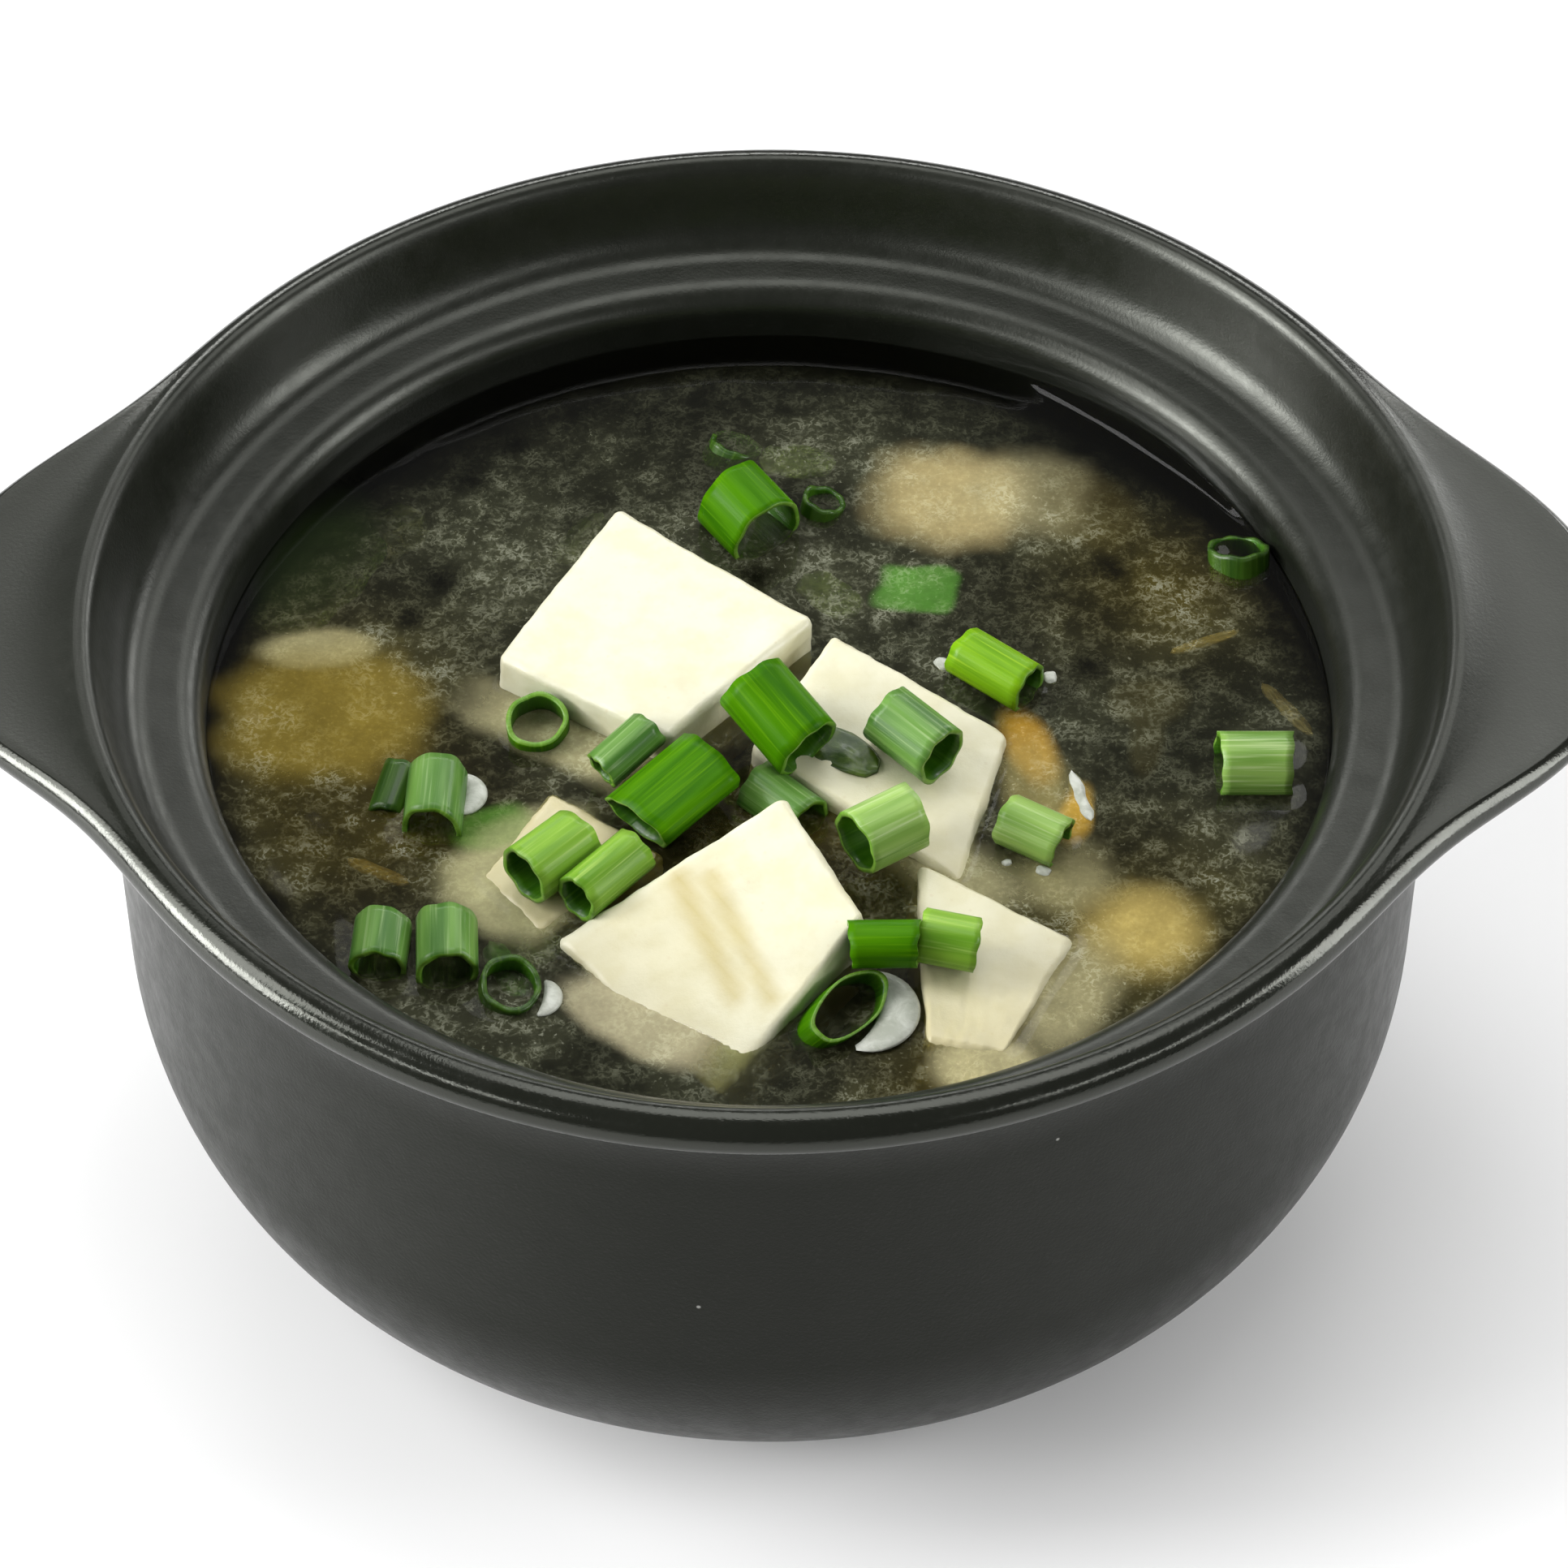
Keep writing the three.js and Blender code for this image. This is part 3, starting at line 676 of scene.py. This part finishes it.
def make_soup():
    """Closed body of soup, with what its look needs to know at each point."""
    turns = 2 * np.pi * np.arange(SOUP_TURN_STEPS) / SOUP_TURN_STEPS
    under = inside_curve(-SOUP_INTO_WALL, 16)[::-1]
    points = [(0, 0, FLOOR_HEIGHT - SOUP_INTO_WALL)]
    for radius, height in under:
        points += [(radius * math.cos(t), radius * math.sin(t), height) for t in turns]
    radii = (MOUTH_RADIUS + SOUP_INTO_WALL) * (1 - np.arange(SOUP_RINGS) / SOUP_RINGS)
    flat = np.array([(r * math.cos(t), r * math.sin(t)) for r in radii for t in turns])
    heights = soup_surface(flat)
    points += [(x, y, z) for (x, y), z in zip(flat, heights)]
    points.append((0, 0, float(heights[-SOUP_TURN_STEPS:].mean())))
    faces = lathe_faces(len(under) + SOUP_RINGS, SOUP_TURN_STEPS)
    piece = make_piece("soup_broth", points, faces, [broth_look()], "soup")
    spots = np.array(points)[:, :2]
    sunk, tone = sunk_things(spots)
    set_share(piece, "murk", soup_murk(spots))
    # Pale grains fade out near the wall, as painted shade of the wall
    set_share(piece, "thick", soup_grains_under_wall_shade(spots))
    set_share(piece, "sunk", sunk)
    set_tone(piece, "sunk_tone", tone)


def rounded_lines(half, inner):
    """Grid lines across a block of that half size, crowded where its edges round off."""
    flat = half - TOFU_ROUND
    bends = [flat + TOFU_ROUND * math.tan(math.radians(a)) for a in (45, 34, 22, 11)]
    middle = np.linspace(-flat, flat, inner + 1)
    return np.concatenate([-np.array(bends), middle, bends[::-1]]) / half


def cube_grid(lines):
    """Points and faces of a cube of half size 1 with its grid lines on each axis."""
    places, points, faces = {}, [], []

    def index(spot):
        key = tuple(round(float(v), 7) for v in spot)
        if key not in places:
            places[key] = len(points)
            points.append(key)
        return places[key]

    for axis in range(3):
        u, v = [a for a in range(3) if a != axis]
        for side in (-1, 1):
            grid = []
            for a in lines[u]:
                row = []
                for b in lines[v]:
                    spot = [0, 0, 0]
                    spot[axis], spot[u], spot[v] = side, a, b
                    row.append(index(spot))
                grid.append(row)
            flip = (side > 0) == (axis == 1)
            for i in range(len(lines[u]) - 1):
                for j in range(len(lines[v]) - 1):
                    face = (grid[i][j], grid[i + 1][j], grid[i + 1][j + 1], grid[i][j + 1])
                    faces.append(face[::-1] if flip else face)
    return np.array(points), faces


def block_points(top, thick, grid, half):
    """Rounded cube points mapped below the four top corners."""
    back, left, front, right = [np.array(corner, float) for corner in top]
    normal = np.cross(front - back, right - left)
    normal /= np.linalg.norm(normal)
    spots = grid * half
    core = np.clip(spots, -(half - TOFU_ROUND), half - TOFU_ROUND)
    out = spots - core
    length = np.linalg.norm(out, axis=1, keepdims=True)
    spots = (core + np.where(length > 0, out / np.maximum(length, 1e-9) * TOFU_ROUND, 0)) / half
    across = (spots[:, :1] + 1) / 2
    along = (spots[:, 1:2] + 1) / 2
    high = back + (right - back) * across
    low = left + (front - left) * across
    return low + (high - low) * along - (1 - spots[:, 2:]) * thick / 2 * normal


def roughen(piece, seed, broad, fine):
    """Moves each point along its normal by smooth noise, in millimetres."""
    shift = Vector((seed * 13.7, seed * 5.1, seed * 9.3))
    for vertex in piece.data.vertices:
        spot = vertex.co / MM + shift
        amount = broad * noise.noise(spot * 0.25) + fine * noise.noise(spot * 1.3)
        vertex.co += vertex.normal * amount * MM
    piece.data.update()


def set_share(piece, name, values):
    """Named value from 0 to 1 at each point, read by the piece's material."""
    layer = piece.data.attributes.new(name, "FLOAT", "POINT")
    layer.data.foreach_set("value", np.asarray(values, np.float32))


def set_tone(piece, name, colours):
    """Named colour at each point, read by the piece's material."""
    layer = piece.data.attributes.new(name, "FLOAT_COLOR", "POINT")
    opaque = np.column_stack([colours, np.ones(len(colours))])
    layer.data.foreach_set("color", opaque.astype(np.float32).ravel())


def off_line(points, start, end):
    """Distance in the plane from each point to one straight line's stretch."""
    return distance_to(np.array([[start, end]], float), points[:, :2])


def tofu_stain_and_shade(number, points):
    """Tan grooves and painted shade on the leaning block, and a soaked tone on those half under the soup."""
    if number == 3:
        stain = sum(np.exp(-(off_line(points, a, b) / width) ** 2) for a, b, width in GROOVES)
        # Painted shade along the crease and over the face in front of it, deeper to the left
        crease_shade = CREASE_SHADE_STRENGTH * np.exp(-(off_line(points, *CREASE) / CREASE_SHADE_WIDTH) ** 2)
        below = 0.5 * (points[:, 0] - CREASE[0][0]) - 0.87 * (points[:, 1] - CREASE[0][1])
        shaded_face = (0.08 + 0.16 * np.clip((-2 - points[:, 0]) / 8, 0, 1)) * np.clip(below / 0.6, 0, 1)
        return np.clip(GROOVE_STRENGTH * stain + crease_shade + shaded_face, 0, 1)
    base, extra, start, run = SOAKED.get(number, (0, 0, 0, 1))
    return base + extra * np.clip((start - points[:, 1]) / run, 0, 1)


def make_tofu(number, material, inner=26):
    top, thick = TOFU[number - 1]
    back, left, front, right = [np.array(corner, float) for corner in top]
    size = np.linalg.norm
    half = np.array([
        (size(left - front) + size(back - right)) / 4,
        (size(back - left) + size(right - front)) / 4,
        thick / 2,
    ])
    grid, faces = cube_grid([rounded_lines(h, inner) for h in half])
    points = block_points(top, thick, grid, half)
    piece = make_piece(f"tofu_{number}_curd", points, faces, [material], f"tofu_{number}")
    roughen(piece, number, broad=0.24, fine=0.1)
    # The stain share also holds painted shade on the leaning block
    set_share(piece, "stain", tofu_stain_and_shade(number, points))


def axes_of(yaw, pitch):
    """Unit vectors along a slice, to its side and up from it."""
    y, p = math.radians(yaw), math.radians(pitch)
    along = np.array([math.cos(p) * math.cos(y), math.cos(p) * math.sin(y), math.sin(p)])
    side = np.array([-math.sin(y), math.cos(y), 0])
    return along, side, np.cross(along, side)


def make_scallion(name, at, yaw, pitch, length, radius, flat, shade, node, seed):
    """Hollow slice of leaf: skin outside, inside painted darker as shade in the hollow, pale cut ends."""
    around, steps = 40, 8
    along, side, up = axes_of(yaw, pitch)
    phase = seed * 1.7
    skins = [radius, radius - LEAF_WALL * 0.5, radius - LEAF_WALL]
    rings = [(skins[0], s) for s in np.linspace(-0.5, 0.5, steps + 1)]
    rings += [(skins[1], 0.5)]
    rings += [(skins[2], s) for s in np.linspace(0.5, -0.5, steps + 1)]
    rings += [(skins[1], -0.5)]
    points, uvs = [], []
    for reach, share in rings:
        for i in range(around):
            a = 2 * math.pi * i / around
            wave = 1 + 0.04 * math.sin(2 * a + phase) + 0.02 * math.sin(5 * a + 2 * phase) - 0.03
            cut = share * length + 2 * share * (0.25 * math.sin(a + phase) + 0.1 * math.sin(7 * a + phase))
            spot = np.array(at) + along * cut
            spot = spot - side * reach * wave * math.cos(a) + up * reach * wave * math.sin(a) * flat
            points.append(spot)
            uvs.append((i / around * radius / 3 + seed * 0.37, share * length / 8 + seed))
    faces, kinds = [], []
    count = len(rings)
    for r in range(count):
        n = (r + 1) % count
        kind = 0 if r < steps else 2 if r in (steps, steps + 1, count - 2, count - 1) else 1
        for i in range(around):
            j = (i + 1) % around
            faces.append((r * around + i, n * around + i, n * around + j, r * around + j))
            kinds.append(kind)
    # The inside tone is painted darker, as shade in the hollow
    looks = [LEAF_LOOKS[shade], LEAF_LOOKS["inside"], LEAF_LOOKS["dark" if shade == "dark" else "cut"]]
    piece = make_piece(name, points, faces, looks, node, kinds)
    layer = piece.data.uv_layers.new(name="leaf")
    for loop in piece.data.loops:
        layer.data[loop.index].uv = uvs[loop.vertex_index]


def make_lump(name, centre, size, yaw, seed, material, boxy=0.75):
    """Soft irregular lump: a squared-off ball with uneven sides."""
    rows, steps = 22, 40
    y = math.radians(yaw)
    points = []

    def spot(polar, turn):
        level = math.sin(polar)
        ball = np.array([level * math.cos(turn), level * math.sin(turn), math.cos(polar)])
        ball = np.sign(ball) * np.abs(ball) ** boxy
        bulge = 1 + 0.16 * noise.noise(Vector(ball * 1.6) + Vector((seed * 7.1, seed, 0)))
        ball = ball * bulge * np.array(size) / 2
        x = ball[0] * math.cos(y) - ball[1] * math.sin(y)
        return np.array(centre) + np.array([x, ball[0] * math.sin(y) + ball[1] * math.cos(y), ball[2]])

    points.append(spot(math.pi, 0))
    for row in range(1, rows):
        polar = math.pi * (1 - row / rows)
        points += [spot(polar, 2 * math.pi * i / steps) for i in range(steps)]
    points.append(spot(0, 0))
    make_piece(name, points, lathe_faces(rows - 1, steps), [material])


def make_leaf(name, centre, length, width, yaw, curl, seed, material, thick=0.5):
    """Thin curling piece of leaf with a wavy outline."""
    long_steps, wide_steps = 18, 10
    y = math.radians(yaw)
    shift = Vector((seed * 3.3, seed * 8.1, 0))
    top, bottom = [], []
    for i in range(long_steps + 1):
        u = 2 * i / long_steps - 1
        spread = (1 - abs(u) ** 4) ** 0.5 * (1 + 0.25 * noise.noise(Vector((u * 2, 0, 0)) + shift))
        for j in range(wide_steps + 1):
            v = 2 * j / wide_steps - 1
            x = u * length / 2
            across = v * width / 2 * spread
            height = -curl * v * v + 0.12 * width * noise.noise(Vector((u * 2, v * 1.5, 1)) + shift)
            turned = (x * math.cos(y) - across * math.sin(y), x * math.sin(y) + across * math.cos(y), height)
            spot = np.array(centre) + np.array(turned)
            top.append(spot)
            bottom.append(spot - np.array([0, 0, thick]))
    row = wide_steps + 1
    count = len(top)
    faces = []
    for i in range(long_steps):
        for j in range(wide_steps):
            a, b = i * row + j, (i + 1) * row + j
            faces.append((a, b, b + 1, a + 1))
            faces.append((count + a + 1, count + b + 1, count + b, count + a))
    rim = [i * row for i in range(long_steps + 1)]
    rim += [long_steps * row + j for j in range(1, row)]
    rim += [i * row + wide_steps for i in range(long_steps - 1, -1, -1)]
    rim += [j for j in range(wide_steps - 1, 0, -1)]
    for a, b in zip(rim, rim[1:] + rim[:1]):
        faces.append((a, count + a, count + b, b))
    make_piece(name, top + bottom, faces, [material])


def make_crescent(name, centre, radius, width, start, end, material, thick=1.1):
    """Curved sliver of a slice's white part, also used as a painted glint, tapering to both ends."""
    steps, around = 20, 12
    points = []
    for i in range(steps + 1):
        u = i / steps
        turn = math.radians(start + (end - start) * u)
        half = width / 2 * max(0.05, math.sin(math.pi * u)) ** 0.6
        for j in range(around):
            a = 2 * math.pi * j / around
            reach = radius + half * math.cos(a)
            height = thick / 2 * math.sin(a) * half / width * 2
            away = np.array([reach * math.cos(turn), reach * math.sin(turn), height])
            points.append(np.array(centre) + away)
    faces = [tuple(range(around)), tuple(range(steps * around + around - 1, steps * around - 1, -1))]
    for i in range(steps):
        for j in range(around):
            k = (j + 1) % around
            faces.append((i * around + j, (i + 1) * around + j, (i + 1) * around + k, i * around + k))
    make_piece(name, points, faces, [material])


def make_sunk_pieces():
    """Strips, seaweed and leaves in the soup, and white slivers, partly painted glints, and crumbs on it."""
    looks = {name: mottled_look(name, dark, light) for name, (dark, light) in SUNK_TONES.items()}
    white = looks["white_stalk_and_glint"]
    for name, centre, length, width, yaw, curl, seed, tone, slot in LEAVES:
        make_leaf(name, centre, length, width, yaw, curl, seed, looks[tone])
    # White slivers, partly painted glints of the lamps on the soup beside slices
    for name, centre, radius, width, first, last in WHITE_SLIVERS_AND_GLINTS:
        make_crescent(name, centre, radius, width, first, last, white)
    for name, centre, yaw, pitch, length, radius, seed in SUNK_SLICES:
        make_scallion(name, centre, yaw, pitch, length, radius, 1, "dark", None, seed)
    for i, (x, y, size) in enumerate(CRUMBS):
        shape = (size, size * CRUMB_LONGER, CRUMB_HEIGHT)
        make_lump(f"crumb_{i + 1}", (x, y, CRUMB_LEVEL), shape, 35 * i, 40 + i, white)


def add_light(name, at, size, power):
    data = bpy.data.lights.new(name, "AREA")
    data.shape = "RECTANGLE"
    data.size, data.size_y = size
    data.energy = power
    light = bpy.data.objects.new(name, data)
    light.location = at
    light.rotation_mode = "QUATERNION"
    light.rotation_quaternion = (Vector(LIGHT_AIM) - Vector(at)).to_track_quat("-Z", "Y")
    SCENE.collection.objects.link(light)


def make_studio():
    """Pale floor, soft lights, even surround and the camera."""
    mesh = bpy.data.meshes.new("floor")
    corners = [(-1, -1), (1, -1), (1, 1), (-1, 1)]
    mesh.from_pydata([(x * FLOOR_HALF, y * FLOOR_HALF, 0) for x, y in corners], [], [(0, 1, 2, 3)])
    mesh.materials.append(floor_look())
    floor = bpy.data.objects.new("floor", mesh)
    SCENE.collection.objects.link(floor)
    world = bpy.data.worlds.new("surround")
    world.use_nodes = True
    world.node_tree.nodes["Background"].inputs["Color"].default_value = (1, 1, 1, 1)
    world.node_tree.nodes["Background"].inputs["Strength"].default_value = SURROUND_STRENGTH
    SCENE.world = world
    for light in LIGHTS:
        add_light(*light)
    SCENE.view_settings.view_transform = "Standard"
    rise = math.radians(CAMERA_ELEVATION)
    back = Vector((0, -math.cos(rise), math.sin(rise)))
    camera = bpy.data.objects.new("camera", bpy.data.cameras.new("camera"))
    camera.data.lens = CAMERA_LENS
    camera.data.sensor_width = CAMERA_SENSOR
    camera.data.clip_start = 0.01
    camera.location = (Vector(CAMERA_AIM) + back * CAMERA_DISTANCE) * MM
    camera.rotation_mode = "QUATERNION"
    camera.rotation_quaternion = (-back).to_track_quat("-Z", "Y")
    SCENE.collection.objects.link(camera)
    SCENE.camera = camera


LEAF_LOOKS = {shade: leaf_look(f"leaf_{shade}", *tones) for shade, tones in LEAF_TONES.items()}


def build():
    make_studio()
    make_pot()
    make_soup()
    cream = tofu_look("bean_curd", (0.755, 0.735, 0.555), (0.70, 0.67, 0.465))
    for number in range(1, len(TOFU) + 1):
        make_tofu(number, cream)
    for i, (at, yaw, pitch, length, radius, flat, shade) in enumerate(SCALLIONS, 1):
        node = f"scallion_{i:02d}"
        make_scallion(f"{node}_leaf", at, yaw, pitch, length, radius, flat, shade, node, i)
    make_sunk_pieces()


build()
